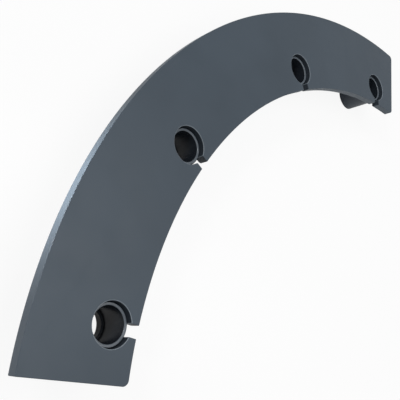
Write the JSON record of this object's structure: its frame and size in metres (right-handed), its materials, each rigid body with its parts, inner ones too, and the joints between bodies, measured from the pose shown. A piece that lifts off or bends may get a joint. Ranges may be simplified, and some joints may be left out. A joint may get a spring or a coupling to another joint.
{
  "type": "milling drum wear plate",
  "caption": "Quarter of a flat wear ring for a road-milling drum, with slotted holes and turned bolt cups welded in behind them.",
  "frame": {"origin": "middle of the footprint, at the back ends of the bolt cups that it stands on", "axes": "+X along the chord of the quarter, from its sharp-tipped left end to its right end; +Y away from the drum's axis, towards the outer edge; +Z out of the worn face"},
  "size_m": [0.675, 0.2014, 0.046],
  "materials": {
    "plate": "satin slate-grey primer on rolled and flame-cut steel plate",
    "cup": "satin slate-grey primer on turned steel",
    "weld": "satin slate-grey primer over a rippled weld"
  },
  "bodies": {
    "root": {"wear_plate": "plate", "bolt_cup_1": "cup", "bolt_cup_2": "cup", "bolt_cup_3": "cup", "bolt_cup_4": "cup", "weld_bead_1": "weld", "weld_bead_2": "weld", "weld_bead_3": "weld", "weld_bead_4": "weld"}
  },
  "joints": []
}
